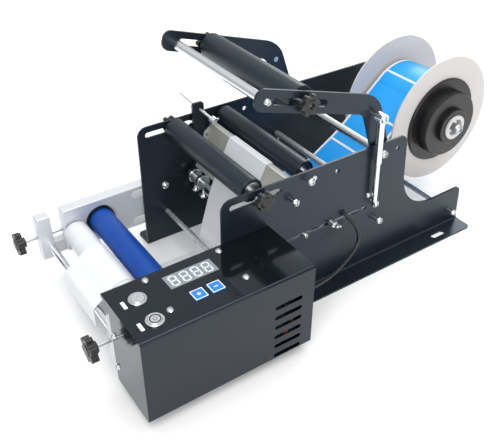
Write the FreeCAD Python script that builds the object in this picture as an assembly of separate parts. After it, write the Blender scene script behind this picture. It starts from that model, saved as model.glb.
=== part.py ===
import FreeCAD, Part
import math
import os

# Bench-top bottle labelling machine, millimetres.
# Frame: X runs along the machine from the bottle rollers (-X) to the label reel (+X),
# Y runs across it (-Y is the side with the control box), Z is up.
# Origin: floor level, at the centre of the four foot slots.
# The layout below measures X from the front edges of the side plates; save() moves it.

V = FreeCAD.Vector
os.makedirs("parts", exist_ok=True)

# --- driving dimensions -------------------------------------------------------
PLATE_T = 3.0            # side plate sheet
PLATE_OUT = 110.0        # outer face of each side plate
PLATE_IN = PLATE_OUT - PLATE_T
PLATE_L = 448.0
PLATE_H = 200.0
FLANGE_OUT = 140.0       # outer edge of the foot flanges
FOOT_SLOT_X = (70.0, 389.0)
FOOT_SLOT_Y = 127.0
FOOT_SLOT_R = 4.5
FOOT_SLOT_L = 27.0
ORIGIN_X = sum(FOOT_SLOT_X) / 2

FIT = 0.05               # radial clearance of a running fit
GAP = 0.4                # free gap between parts that don't touch

ARM_T = 18.0             # roller arms, bolted outside the side plates
ARM_OUT = PLATE_OUT + ARM_T
ARM_X0, ARM_X1 = -123.0, 62.0
ARM_Z0, ARM_Z1 = 40.0, 107.5
ARM_SLOT_Z = (50.0, 96.0)

DRIVE_X, DRIVE_Z, DRIVE_R = -68.0, 74.0, 18.4
PINCH_X, PINCH_Z, PINCH_R = -108.5, 68.5, 18.4
ADJ_X, ADJ_Z, ADJ_R = -146.0, 57.4, 5.0
ADJ_SCREW_Z, ADJ_SCREW_R = 74.0, 2.2
BLOCK_X0, BLOCK_X1 = -160.0, -141.0

IDLER_X, IDLER_Z, IDLER_R = 57.0, 187.0, 16.2
REAR_IDLER_X, REAR_IDLER_Z, REAR_IDLER_R = 141.5, 185.0, 14.8
IDLER_SHAFT_R = 4.0
IDLER_SLOT_R = 4.3

PIVOT_X, PIVOT_Z, PIVOT_R = 263.0, 181.0, 6.0
SWING_IN = {-1: 100.5, 1: 111.0}     # inner faces: the near arm swings inside its plate,
SWING_OUT = {-1: 104.5, 1: 115.0}    # the far arm outside its plate
BAR_X, BAR_Z, BAR_R = 68.6, 310.0, 6.5
SWING_ANGLE = -17.0      # slope of the swing arms when raised, degrees
SLOT_START = (69.6, 311.3)
PRESS_X, PRESS_Z, PRESS_R = 124.0, 294.7, 18.1
STRUT_TOP = (240.0, 246.0)
STRUT_FOOT = (247.0, 112.0)
STRUT_Y = {-1: 118.0, 1: 122.0}

REEL_X, REEL_Z, DISC_R = 436.0, 158.6, 100.0
DISC_IN = 50.0           # inner face of each reel disc
ROLL_R = 62.0
CORE_R = 38.0
WEB_HALF = 45.0
WEB_T = 0.4

BOX_X0, BOX_X1 = -161.8, 69.7
BOX_FRONT, BOX_BACK = -207.2, -128.4
BOX_Z0, BOX_Z1 = 16.3, 140.2
PANEL_T = 5.0
SHEET = 1.5

SENSOR_X, SENSOR_SLOT_Z = 177.0, 102.0
RUN_Z = 92.0             # level of the label web under the sensor


# --- helpers ------------------------------------------------------------------
def box(x0, x1, y0, y1, z0, z1):
    return Part.makeBox(x1 - x0, y1 - y0, z1 - z0, V(x0, y0, z0))


def rod_x(y, z, r, x0, x1):
    return Part.makeCylinder(r, x1 - x0, V(x0, y, z), V(1, 0, 0))


def rod_y(x, z, r, y0, y1):
    return Part.makeCylinder(r, y1 - y0, V(x, y0, z), V(0, 1, 0))


def rod_z(x, y, r, z0, z1):
    return Part.makeCylinder(r, z1 - z0, V(x, y, z0), V(0, 0, 1))


def rod_between(a, b, r):
    start, end = V(*a), V(*b)
    return Part.makeCylinder(r, (end - start).Length, start, end - start)


def tube_y(x, z, outer, inner, y0, y1):
    return rod_y(x, z, outer, y0, y1).cut(rod_y(x, z, inner, y0 - 1, y1 + 1))


def fuse(shapes):
    whole = shapes[0]
    for piece in shapes[1:]:
        whole = whole.fuse(piece)
    return whole.removeSplitter()


def cut_all(shape, tools):
    for tool in tools:
        shape = shape.cut(tool)
    return shape


def rounded_outline(corners):
    """Closed outline in the XZ plane from (x, z, corner radius) points."""
    edges = []
    joints = []
    count = len(corners)
    for i in range(count):
        x, z, r = corners[i]
        here = V(x, 0, z)
        before = V(corners[i - 1][0], 0, corners[i - 1][1]) - here
        after = V(corners[(i + 1) % count][0], 0, corners[(i + 1) % count][1]) - here
        if r == 0:
            joints.append((here, here, None))
            continue
        half = before.getAngle(after) / 2
        reach = r / math.tan(half)
        start = here + before.normalize() * reach
        end = here + after.normalize() * reach
        bisector = (before + after).normalize()
        middle = here + bisector * (r / math.sin(half) - r)
        joints.append((start, end, middle))
    for i in range(count):
        start, end, middle = joints[i]
        if middle is not None:
            edges.append(Part.Arc(start, middle, end).toShape())
        following = joints[(i + 1) % count][0]
        if (following - end).Length > 1e-6:
            edges.append(Part.LineSegment(end, following).toShape())
    return Part.Wire(edges)


def prism_y(corners, y0, y1):
    """Outline in XZ swept from y0 to y1."""
    face = Part.Face(rounded_outline(corners))
    face.translate(V(0, y0, 0))
    return face.extrude(V(0, y1 - y0, 0))


def slot_y(x0, x1, z0, z1, r, y0, y1):
    """Round-ended slot between two centres, cut along Y."""
    ends = [rod_y(x0, z0, r, y0, y1), rod_y(x1, z1, r, y0, y1)]
    length = math.hypot(x1 - x0, z1 - z0)
    middle = box(0, length, y0, y1, -r, r)
    middle.rotate(V(0, 0, 0), V(0, 1, 0), -math.degrees(math.atan2(z1 - z0, x1 - x0)))
    middle.translate(V(x0, 0, z0))
    return ends[0].fuse(ends[1]).fuse(middle)


def slot_z(x, y, length, r, z0, z1):
    """Round-ended slot along X, cut along Z."""
    half = length / 2 - r
    return fuse([
        rod_z(x - half, y, r, z0, z1),
        rod_z(x + half, y, r, z0, z1),
        box(x - half, x + half, y - r, y + r, z0, z1),
    ])


def dome_head(r, height, socket_r):
    """Button screw head standing on Z = 0 with a hexagon socket."""
    head = Part.makeCone(r, r * 0.84, height * 0.55)
    head = head.fuse(Part.makeCone(r * 0.84, r * 0.5, height * 0.45, V(0, 0, height * 0.55)))
    corners = [V(socket_r * math.cos(a), socket_r * math.sin(a), height * 0.35)
               for a in [math.radians(60 * k) for k in range(7)]]
    socket = Part.Face(Part.makePolygon(corners)).extrude(V(0, 0, height))
    return head.cut(socket)


def screw(base, direction, head_r, head_h, shank_r, shank_l):
    """Button screw: head outside 'base' along 'direction', shank behind it."""
    body = dome_head(head_r, head_h, head_r * 0.42)
    body = body.fuse(Part.makeCylinder(shank_r, shank_l, V(0, 0, -shank_l)))
    turn = FreeCAD.Rotation(V(0, 0, 1), V(*direction))
    body.Placement = FreeCAD.Placement(V(*base), turn)
    return body


def star_knob(radius, thickness, lobes):
    """Lobed clamping knob standing on Z = 0, with a hub boss under it."""
    disc = Part.makeCylinder(radius * 0.8, thickness, V(0, 0, 4))
    for k in range(lobes):
        a = 2 * math.pi * k / lobes
        at = V(radius * 0.72 * math.cos(a), radius * 0.72 * math.sin(a), 4)
        disc = disc.fuse(Part.makeCylinder(radius * 0.28, thickness, at))
        b = a + math.pi / lobes
        groove = V(radius * 0.98 * math.cos(b), radius * 0.98 * math.sin(b), 3)
        disc = disc.cut(Part.makeCylinder(radius * 0.25, thickness + 2, groove))
    hub = Part.makeCylinder(radius * 0.42, 4, V(0, 0, 0))
    cap = Part.makeCone(radius * 0.6, radius * 0.45, 1.5, V(0, 0, 4 + thickness))
    return disc.fuse(hub).fuse(cap).removeSplitter()


def placed(shape, base, direction):
    copy = shape.copy()
    turn = FreeCAD.Rotation(V(0, 0, 1), V(*direction))
    copy.Placement = FreeCAD.Placement(V(*base), turn)
    return copy


def save(name, shape):
    moved = shape.copy()
    moved.translate(V(-ORIGIN_X, 0, 0))
    moved.exportStep("parts/" + name + ".step")


# --- side plates --------------------------------------------------------------
NEAR_OUTLINE = [
    (0, 0, 0),
    (0, PLATE_H, 15),
    (304, PLATE_H, 14),
    (315, 62, 70),
    (443, 65, 10),
    (PLATE_L, 0, 0),
]
FAR_OUTLINE = [
    (0, 0, 0),
    (0, PLATE_H, 15),
    (PLATE_L, PLATE_H, 30),
    (PLATE_L, 0, 0),
]
TIE_FRONT = (37.0, ARM_SLOT_Z[0])
TIE_REAR = ((262.0, 75.0), (429.0, 23.0))
GUIDE_ROD = (242.0, 122.0)
TURN_ROD = (132.0, 98.0)
EDGE_ROD = (82.0, 104.0)
DECK_SCREW = (106.0, 166.0)
STOP_SCREW = (129.5, 188.5)
SMALL_HOLES = ((87.0, 187.0, 2.5), (180.0, 183.0, 3.5), (288.0, 183.0, 3.2))


def plate_holes(y0, y1):
    holes = [slot_y(16, 82, IDLER_Z, IDLER_Z, IDLER_SLOT_R, y0, y1)]
    holes.append(rod_y(REAR_IDLER_X, REAR_IDLER_Z, IDLER_SHAFT_R, y0, y1))
    holes.append(rod_y(PIVOT_X, PIVOT_Z, 4.0, y0, y1))
    holes.append(rod_y(STRUT_FOOT[0], STRUT_FOOT[1], 3.0, y0, y1))
    for x, z in (TIE_FRONT,) + TIE_REAR + (GUIDE_ROD, TURN_ROD, EDGE_ROD, DECK_SCREW):
        holes.append(rod_y(x, z, 2.5, y0, y1))
    holes.append(rod_y(TIE_FRONT[0], ARM_SLOT_Z[1], 4.0, y0, y1))
    for x, z, r in SMALL_HOLES:
        holes.append(rod_y(x, z, r, y0, y1))
    return holes


def side_plate(side, outline):
    """Bent sheet: upright plate with an outward foot flange. side is -1 or +1."""
    inner, outer = sorted((side * PLATE_IN, side * PLATE_OUT))
    upright = prism_y(outline, inner, outer)
    low, high = sorted((side * PLATE_IN, side * FLANGE_OUT))
    foot = box(0, PLATE_L, low, high, 0, PLATE_T)
    corners = [e for e in foot.Edges
               if e.BoundBox.ZLength > 1 and abs(abs(e.BoundBox.Center.y) - FLANGE_OUT) < 0.1]
    foot = foot.makeFillet(6, corners)
    bend = box(0, PLATE_L, *sorted((side * PLATE_OUT, side * (PLATE_OUT + 3))), PLATE_T, PLATE_T + 3)
    bend = bend.cut(rod_x(side * (PLATE_OUT + 3), PLATE_T + 3, 3, -1, PLATE_L + 1))
    plate = upright.fuse(foot).fuse(bend).removeSplitter()
    outside_bend = [e for e in plate.Edges
                    if e.BoundBox.XLength > 400 and e.BoundBox.ZMax < 0.01
                    and abs(abs(e.BoundBox.Center.y) - PLATE_IN) < 0.1]
    plate = plate.makeFillet(2.5, outside_bend)
    plate = cut_all(plate, plate_holes(inner - 1, outer + 1))
    for x in FOOT_SLOT_X:
        plate = plate.cut(slot_z(x, side * FOOT_SLOT_Y, FOOT_SLOT_L, FOOT_SLOT_R, -1, PLATE_T + 1))
    return plate


near_plate = side_plate(-1, NEAR_OUTLINE)
near_plate = near_plate.cut(
    slot_y(104, 238, SENSOR_SLOT_Z, SENSOR_SLOT_Z, 2.3, -PLATE_OUT - 1, -PLATE_IN + 1))
CABLE_HOLE = (197.0, 110.0)
near_plate = near_plate.cut(rod_y(CABLE_HOLE[0], CABLE_HOLE[1], 3.5, -PLATE_OUT - 1, -PLATE_IN + 1))
near_plate = near_plate.cut(rod_y(STOP_SCREW[0], STOP_SCREW[1], 2.5, -PLATE_OUT - 1, -PLATE_IN + 1))
far_plate = side_plate(1, FAR_OUTLINE)
far_plate = far_plate.cut(rod_y(REEL_X, REEL_Z, 5.0, PLATE_IN - 1, PLATE_OUT + 1))
save("near_side_plate", near_plate)
save("far_side_plate", far_plate)


# --- cross rods between the plates ---------------------------------------------
def cross_rod(x, z, r):
    """Rod between the inner faces of the plates, tapped at both ends."""
    rod = rod_y(x, z, r, -PLATE_IN, PLATE_IN)
    rims = [e for e in rod.Edges if abs(abs(e.BoundBox.Center.y) - PLATE_IN) < 0.01]
    rod = rod.makeChamfer(0.5, rims)
    rod = rod.cut(rod_y(x, z, 2.5, -PLATE_IN - 1, -PLATE_IN + 12))
    return rod.cut(rod_y(x, z, 2.5, PLATE_IN - 12, PLATE_IN + 1))


def end_screw(x, z, side, stand_off, head_r=5.0):
    """Screw into a cross rod; a spacer sleeve holds the head off the plate."""
    y = side * (PLATE_OUT + stand_off)
    body = screw((x, y, z), (0, side, 0), head_r, 3.4, 2.5, stand_off + PLATE_T + 9)
    if stand_off > 0:
        low, high = sorted((side * PLATE_OUT, y))
        body = body.fuse(rod_y(x, z, 3.0, low, high))
    return body


def stop_screw():
    """Long screw through the near plate with a lock nut inside it."""
    x, z = STOP_SCREW
    shank = screw((x, -PLATE_OUT - 9.0, z), (0, -1, 0), 5.6, 3.4, 2.5, 18.0)
    nut = hex_prism(4.0, 4.0, V(x, -PLATE_IN, z), V(0, 1, 0))
    return shank.fuse(nut).removeSplitter()


tie_rods = [cross_rod(x, z, 5.0) for x, z in TIE_REAR]
save("tie_rods", Part.makeCompound(tie_rods + [cross_rod(TIE_FRONT[0], TIE_FRONT[1], 4.0)]))
save("guide_rods", Part.makeCompound([
    cross_rod(GUIDE_ROD[0], GUIDE_ROD[1], 5.0),
    cross_rod(TURN_ROD[0], TURN_ROD[1], 6.0),
    cross_rod(EDGE_ROD[0], EDGE_ROD[1], 4.0),
]))

screws = []
for side in (-1, 1):
    for x, z in TIE_REAR:
        screws.append(end_screw(x, z, side, 8.5, 5.6))
    for x, z in (GUIDE_ROD, TURN_ROD, EDGE_ROD):
        screws.append(end_screw(x, z, side, 0.0, 4.2))
    screws.append(end_screw(DECK_SCREW[0], DECK_SCREW[1], side, 9.0, 5.6))

# --- roller arms outside the side plates ----------------------------------------
RECESS_R = 23.5
RECESS_D = 6.0
BEARING_OUT = 11.0
TONGUE_Z0, TONGUE_Z1 = 42.0, 61.0
TONGUE_Y0, TONGUE_Y1 = PLATE_OUT + 2.0, ARM_OUT - 2.0
ARM_MID = (PLATE_OUT + ARM_OUT) / 2
PINCH_END = 115.5


def roller_arm(side):
    low, high = sorted((side * PLATE_OUT, side * ARM_OUT))
    arm = box(ARM_X0, ARM_X1, low, high, ARM_Z0, ARM_Z1)
    arm = arm.makeChamfer(0.8, arm.Edges)
    for z in ARM_SLOT_Z:
        arm = arm.cut(slot_y(-12, 46, z, z, 6.0, low - 1, high + 1))
    inner = sorted((side * (PLATE_OUT - 1), side * (PLATE_OUT + RECESS_D)))
    arm = arm.cut(rod_y(DRIVE_X, DRIVE_Z, RECESS_R, *inner))
    arm = arm.cut(rod_y(DRIVE_X, DRIVE_Z, BEARING_OUT, low - 1, high + 1))
    arm = arm.cut(rod_y(PINCH_X, PINCH_Z, 4.0 + FIT, *sorted((side * (PLATE_OUT - 1), side * (PINCH_END + 0.2)))))
    tongue = sorted((side * (TONGUE_Y0 - FIT), side * (TONGUE_Y1 + FIT)))
    arm = arm.cut(box(ARM_X0 - 1, -96, *tongue, TONGUE_Z0 - FIT, TONGUE_Z1 + FIT))
    return arm.cut(rod_x(side * ARM_MID, ADJ_SCREW_Z, ADJ_SCREW_R + FIT, ARM_X0 - 1, -95))


save("far_roller_arm", roller_arm(1))
save("near_roller_arm", roller_arm(-1))


def arm_fasteners(side):
    """Screws from inside the plate through the arm slot, with washer and nut outside."""
    parts = []
    x, z = TIE_FRONT[0], ARM_SLOT_Z[1]
    shank = screw((x, side * PLATE_IN, z), (0, -side, 0), 6.5, 4.4, 4.0, PLATE_T + ARM_T + 8)
    parts.append(shank)
    low, high = sorted((side * ARM_OUT, side * (ARM_OUT + 1.6)))
    parts.append(tube_y(x, z, 9.0, 4.0, low, high))
    nut_start = V(x, side * (ARM_OUT + 1.6), z)
    nut = hex_prism(6.5, 5.0, nut_start, V(0, side, 0))
    parts.append(nut.cut(rod_y(x, z, 4.0, -300, 300)))
    x, z = TIE_FRONT
    washer_low, washer_high = sorted((side * ARM_OUT, side * (ARM_OUT + 1.6)))
    parts.append(tube_y(x, z, 9.0, 2.5, washer_low, washer_high))
    head = (x, side * (ARM_OUT + 1.6), z)
    parts.append(screw(head, (0, side, 0), 5.5, 3.8, 2.5, ARM_T + PLATE_T + 1.6 + 9))
    return parts


def hex_prism(across_half, height, base, direction):
    radius = across_half / math.cos(math.radians(30))
    corners = [V(radius * math.cos(a), radius * math.sin(a), 0)
               for a in [math.radians(60 * k + 30) for k in range(7)]]
    prism = Part.Face(Part.makePolygon(corners)).extrude(V(0, 0, height))
    prism.Placement = FreeCAD.Placement(base, FreeCAD.Rotation(V(0, 0, 1), direction))
    return prism



# --- drive roller, pinch roller ---------------------------------------------------
def ball_bearing(x, z, outer, inner, y0, y1):
    """Bearing drawn as one ring with shallow shield grooves on both faces."""
    ring = tube_y(x, z, outer, inner, y0, y1)
    for low, high in ((y0 - 1, y0 + 0.5), (y1 - 0.5, y1 + 1)):
        ring = ring.cut(tube_y(x, z, outer - 2.2, inner + 2.2, low, high))
    return ring


DRIVE_SHAFT_R = 6.0
drive_bearings = [
    ball_bearing(DRIVE_X, DRIVE_Z, BEARING_OUT, DRIVE_SHAFT_R + FIT, *sorted((s * 118.0, s * ARM_OUT)))
    for s in (-1, 1)
]
covers = [
    tube_y(DRIVE_X, DRIVE_Z, RECESS_R - 0.1, 8.0, *sorted((s * (PLATE_OUT + 1.5), s * (PLATE_OUT + RECESS_D))))
    for s in (-1, 1)
]
save("drive_bearings", Part.makeCompound(drive_bearings + covers))

ROLLER_Y = PLATE_OUT - 1.0
drive_core = rod_y(DRIVE_X, DRIVE_Z, 15.0, -ROLLER_Y, ROLLER_Y)
drive_core = drive_core.fuse(rod_y(DRIVE_X, DRIVE_Z, DRIVE_SHAFT_R, -142, ARM_OUT + 4)).removeSplitter()
save("drive_roller_core", drive_core)
save("drive_roller_sleeve", tube_y(DRIVE_X, DRIVE_Z, DRIVE_R, 15.0, -ROLLER_Y, ROLLER_Y))

pinch = rod_y(PINCH_X, PINCH_Z, PINCH_R, -ROLLER_Y + 1, ROLLER_Y - 1)
rims = [e for e in pinch.Edges if e.BoundBox.YLength < 0.01]
pinch = pinch.makeChamfer(1.0, rims)
pinch = pinch.fuse(rod_y(PINCH_X, PINCH_Z, 4.0, -PINCH_END, PINCH_END)).removeSplitter()
save("pinch_roller", pinch)


# --- adjusting rod carriage --------------------------------------------------------
def adjust_block(side):
    low, high = sorted((side * (PLATE_OUT + 0.5), side * (ARM_OUT - 0.5)))
    block = box(BLOCK_X0, BLOCK_X1, low, high, 38, 107)
    block = block.makeChamfer(0.8, block.Edges)
    tongue = box(BLOCK_X1 - 1, -104, *sorted((side * TONGUE_Y0, side * TONGUE_Y1)), TONGUE_Z0, TONGUE_Z1)
    block = block.fuse(tongue).removeSplitter()
    block = block.cut(rod_x(side * ARM_MID, ADJ_SCREW_Z, ADJ_SCREW_R + FIT, BLOCK_X0 - 1, BLOCK_X1 + 1))
    return block.cut(rod_y(ADJ_X, ADJ_Z, ADJ_R, low - 1, high + 1))


save("adjust_blocks", Part.makeCompound([adjust_block(1), adjust_block(-1)]))
save("adjust_rod", rod_y(ADJ_X, ADJ_Z, ADJ_R, -ARM_OUT + 1, ARM_OUT - 1))


def adjust_knob(side):
    knob = placed(star_knob(17.0, 9.0, 6), (-178.5, side * ARM_MID, ADJ_SCREW_Z), (-1, 0, 0))
    return knob.fuse(rod_x(side * ARM_MID, ADJ_SCREW_Z, ADJ_SCREW_R, -179.5, -106)).removeSplitter()


save("far_adjust_knob", adjust_knob(1))
save("near_adjust_knob", adjust_knob(-1))


# --- idler rollers between the plates ------------------------------------------------
def idler_sleeve(x, z, r, y0, y1):
    sleeve = rod_y(x, z, r, y0, y1)
    rims = [e for e in sleeve.Edges if e.BoundBox.YLength < 0.01]
    sleeve = sleeve.makeChamfer(0.8, rims)
    return sleeve.cut(rod_y(x, z, r - 4.5, y0 - 1, y1 + 1))


def idler_hubs(x, z, r, y0, y1):
    """Steel liner tube with a bearing ring at each end, bored for the shaft."""
    liner = tube_y(x, z, r - 4.5, r - 6.0, y0, y1)
    rings = [ball_bearing(x, z, r - 6.0, IDLER_SHAFT_R + FIT, low, low + 7) for low in (y0 + 1, y1 - 8)]
    return liner.fuse(rings[0]).fuse(rings[1]).removeSplitter()


def idler_roller(x, z, r, y0, y1):
    return Part.makeCompound([idler_sleeve(x, z, r, y0, y1), idler_hubs(x, z, r, y0, y1)])


def idler_shaft(x, z, half):
    shaft = rod_y(x, z, IDLER_SHAFT_R, -half, half)
    return shaft.makeChamfer(0.6, [e for e in shaft.Edges if e.BoundBox.YLength < 0.01])


IDLER_Y0, IDLER_Y1 = -91.0, 103.0
save("front_idler_roller", idler_roller(IDLER_X, IDLER_Z, IDLER_R, IDLER_Y0, IDLER_Y1))
save("front_idler_shaft", idler_shaft(IDLER_X, IDLER_Z, 117.0))
for name, side in (("near_idler_knob", -1), ("far_idler_knob", 1)):
    knob = placed(star_knob(13.0, 8.0, 6), (IDLER_X, side * (PLATE_OUT + GAP), IDLER_Z), (0, side, 0))
    save(name, knob.cut(rod_y(IDLER_X, IDLER_Z, IDLER_SHAFT_R + FIT, -117.5, 117.5)))

save("rear_idler_roller", idler_roller(REAR_IDLER_X, REAR_IDLER_Z, REAR_IDLER_R, IDLER_Y0 + 2, IDLER_Y1))
rear_shaft = rod_y(REAR_IDLER_X, REAR_IDLER_Z, IDLER_SHAFT_R, -PLATE_OUT, PLATE_OUT)


# --- guide deck under the web and its far bracket -------------------------------------
DECK_T = 1.2
DECK_BACK_X, DECK_FRONT_X, DECK_TOP_Z = 121.5, 113.0, 182.0
DECK_FOOT = (84.3, 119.0)
DECK_Y0, DECK_Y1 = -104.0, 97.0


def sheet_path(points, thickness, y0, y1):
    """Bent sheet: open path in XZ thickened to one side and swept along Y."""
    wire = Part.makePolygon([V(x, 0, z) for x, z in points])
    face = wire.makeOffset2D(thickness, join=0, fill=True, openResult=True)
    face.translate(V(0, y0, 0))
    return face.extrude(V(0, y1 - y0, 0))


deck = sheet_path([
    (DECK_BACK_X, DECK_TOP_Z - 5),
    (DECK_BACK_X, DECK_TOP_Z),
    (DECK_FRONT_X, DECK_TOP_Z),
    DECK_FOOT,
], DECK_T, DECK_Y0, DECK_Y1)
lugs = []
for y0, y1 in ((DECK_Y0, DECK_Y0 + DECK_T), (DECK_Y1 - DECK_T, DECK_Y1)):
    lug = prism_y([(98, 152, 3), (101, 172, 3), (109, 177, 2), (120, 177, 3), (114, 152, 3)], y0, y1)
    lugs.append(lug)
deck = fuse([deck] + lugs)
for y0, y1 in ((DECK_Y0 - 1, DECK_Y0 + 8), (DECK_Y1 - 2, DECK_Y1 + 1)):
    deck = deck.cut(rod_y(DECK_SCREW[0], DECK_SCREW[1], 2.5, y0, y1))
save("guide_deck", deck)


# --- edge tab, slanted guide wire and edge collars --------------------------------------
TAB_X0, TAB_X1 = 86.2, 104.6
TAB_Y0, TAB_Y1, TAB_TOP = 100.0, 104.5, 218.0
tab = box(TAB_X0, TAB_X1, TAB_Y0, TAB_Y1, 169.5, TAB_TOP)
tab = tab.makeFillet(4.0, [e for e in tab.Edges if e.BoundBox.YLength > 4 and e.BoundBox.ZMin > TAB_TOP - 1])
tab = tab.fuse(rod_y(93.5, 176, 3.5, TAB_Y1 - 1, PLATE_IN)).fuse(rod_y(93.5, 194, 3.5, TAB_Y1 - 1, PLATE_IN))
WIRE_A, WIRE_B = (89.1, 140.0, 219.9), (105.2, 72.0, 197.5)
WIRE_R = 2.1
save("edge_tab", tab.cut(rod_between(WIRE_A, WIRE_B, WIRE_R)).removeSplitter())
wire = rod_between(WIRE_A, WIRE_B, WIRE_R)
stop = Part.makeCylinder(5.6, 7.0, V(*WIRE_B), V(*WIRE_A) - V(*WIRE_B))
lock = Part.makeCylinder(1.8, 9.0, V(*WIRE_B) + (V(*WIRE_A) - V(*WIRE_B)).normalize() * 3.5, V(1, 0, 0))
save("slanted_guide_wire", wire.fuse(stop).fuse(lock).removeSplitter())

COLLAR_R, COLLAR_W = 11.0, 7.0
COLLAR_Y = (70.5, 93.0)
THUMB = V(1.5, 0, -20).normalize()


def collar(y):
    ring = rod_y(EDGE_ROD[0], EDGE_ROD[1], COLLAR_R, y, y + COLLAR_W)
    ring = ring.makeChamfer(0.8, [e for e in ring.Edges if e.BoundBox.YLength < 0.01])
    ring = ring.cut(rod_y(EDGE_ROD[0], EDGE_ROD[1], 4.0 + FIT, y - 1, y + COLLAR_W + 1))
    centre = V(EDGE_ROD[0], y + COLLAR_W / 2, EDGE_ROD[1])
    return ring.cut(Part.makeCylinder(1.8, 12.0, centre, THUMB))


def thumb_screw(y):
    centre = V(EDGE_ROD[0], y + COLLAR_W / 2, EDGE_ROD[1])
    stem = Part.makeCylinder(1.8 - FIT, 18.0, centre + THUMB * 5.0, THUMB)
    neck = Part.makeCylinder(4.0, 3.5, centre + THUMB * 18.0, THUMB)
    head = Part.makeCylinder(7.4, 5.0, centre + THUMB * 21.5, THUMB)
    head = head.makeChamfer(1.2, [e for e in head.Edges if e.Curve.TypeId == "Part::GeomCircle"])
    return stem.fuse(neck).fuse(head).removeSplitter()


for name, y in (("inner", COLLAR_Y[0]), ("outer", COLLAR_Y[1])):
    save(name + "_edge_collar", Part.makeCompound([collar(y), thumb_screw(y)]))


# --- label web and backing liner --------------------------------------------------------
def ribbon(path, thickness, y0, y1):
    """Thin strip along an open XZ path of (x, z, bend radius) points."""
    count = len(path)
    sides = ([], [])
    for i in range(count):
        x, z, r = path[i]
        into = unit(path[max(i - 1, 0)], path[max(i, 1)])
        out = unit(path[min(i, count - 2)], path[min(i + 1, count - 1)])
        turn = into[0] * out[1] - into[1] * out[0]
        normal = (-(into[1] + out[1]), into[0] + out[0])
        size = math.hypot(*normal)
        scale = thickness / 2 / (size / 2) / size
        for side, sign in zip(sides, (1, -1)):
            bend = r - math.copysign(sign * thickness / 2, turn)
            side.append((x + sign * normal[0] * scale, z + sign * normal[1] * scale, max(bend, 0) if r else 0))
    return prism_y(sides[0] + sides[1][::-1], y0, y1)


def unit(a, b):
    length = math.hypot(b[0] - a[0], b[1] - a[1])
    return ((b[0] - a[0]) / length, (b[1] - a[1]) / length)


def on_circle(x, z, r, degrees):
    a = math.radians(degrees)
    return (x + r * math.cos(a), z + r * math.sin(a))


def corner_of_arc(x, z, r, start, end):
    """Path corner whose fillet of radius r wraps a round part from 'start' to 'end' degrees."""
    middle = (start + end) / 2
    reach = r / math.cos(math.radians(abs(end - start) / 2))
    return on_circle(x, z, reach, middle) + (r,)


EASE = WEB_T / 2 + 0.3
ROLL_LEAVE = on_circle(REEL_X, REEL_Z, ROLL_R + EASE, 140)
DECK_LEFT, DECK_OVER = DECK_FRONT_X - 0.6, DECK_TOP_Z + 0.6
SLOPE = unit((DECK_FRONT_X, DECK_TOP_Z), DECK_FOOT)
ROD_SIDE = (DECK_LEFT + SLOPE[0] * 82, DECK_OVER + SLOPE[1] * 82)
LIFT_LOW_X, LIFT_TOP_X = TURN_ROD[0] - 6.3, DECK_BACK_X + 1.0
UNDER_Z = TURN_ROD[1] - 6.0 - EASE
NIP_X = PINCH_X + PINCH_R + EASE
WRAP = PINCH_R + EASE
TAIL_TURN = 126.6
web_path = [
    ROLL_LEAVE + (0,),
    (312.0, 131.0, 120.0),
    (248.0, UNDER_Z, 90.0),
    (LIFT_LOW_X, UNDER_Z, 6.0 + EASE),
    (LIFT_TOP_X, DECK_OVER, 0.9),
    (DECK_LEFT, DECK_OVER, 0.9),
    ROD_SIDE + (40.0,),
    (48.5, 8.0, 10.0),
    (NIP_X, 8.0, 10.0),
    corner_of_arc(PINCH_X, PINCH_Z, WRAP, 0, 45),
    corner_of_arc(PINCH_X, PINCH_Z, WRAP, 45, 90),
    on_circle(PINCH_X, PINCH_Z, WRAP, 90) + (0,),
]
save("label_web", ribbon(web_path, WEB_T, -WEB_HALF, WEB_HALF))
ADJ_WRAP = ADJ_R + EASE
tail_path = [
    on_circle(PINCH_X, PINCH_Z, WRAP, 90) + (0,),
    corner_of_arc(PINCH_X, PINCH_Z, WRAP, 90, TAIL_TURN),
    corner_of_arc(ADJ_X, ADJ_Z, ADJ_WRAP, TAIL_TURN, 180),
    (ADJ_X - ADJ_WRAP, 30.0, 0),
]
save("liner_tail", ribbon(tail_path, WEB_T, -WEB_HALF, WEB_HALF))


# --- swing arm with the press roller ---------------------------------------------------
SWING_OUTLINE = [
    (56.2, 330.0, 11.5),
    (48.2, 303.6, 11.5),
    (222.2, 250.4, 20.0),
    (253.0, 162.5, 14.2),
    (280.3, 172.1, 14.2),
    (245.6, 271.8, 47.0),
]
U = (math.cos(math.radians(SWING_ANGLE)), math.sin(math.radians(SWING_ANGLE)))
PRESS_SLOT = (11.5, 88.0)
PRESS_SHAFT_R = 4.0
HINGE_BOSS = {-1: (-SWING_IN[-1], -SWING_IN[-1] + 5.0), 1: (SWING_OUT[1], SWING_OUT[1] + 5.0)}


def swing_arm(side):
    low, high = sorted((side * SWING_IN[side], side * SWING_OUT[side]))
    arm = prism_y(SWING_OUTLINE, low, high)
    arm = arm.fuse(rod_y(PIVOT_X, PIVOT_Z, 11.0, *HINGE_BOSS[side]))
    arm = arm.cut(rod_y(PIVOT_X, PIVOT_Z, PIVOT_R + FIT, low - 9, high + 9))
    arm = arm.cut(rod_y(BAR_X, BAR_Z, 2.5, low - 1, high + 1))
    arm = arm.cut(rod_y(STRUT_TOP[0], STRUT_TOP[1], 4.0, low - 1, high + 1))
    a = (SLOT_START[0] + U[0] * PRESS_SLOT[0], SLOT_START[1] + U[1] * PRESS_SLOT[0])
    b = (SLOT_START[0] + U[0] * PRESS_SLOT[1], SLOT_START[1] + U[1] * PRESS_SLOT[1])
    return arm.cut(slot_y(a[0], b[0], a[1], b[1], PRESS_SHAFT_R + 0.8, low - 1, high + 1))


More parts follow.
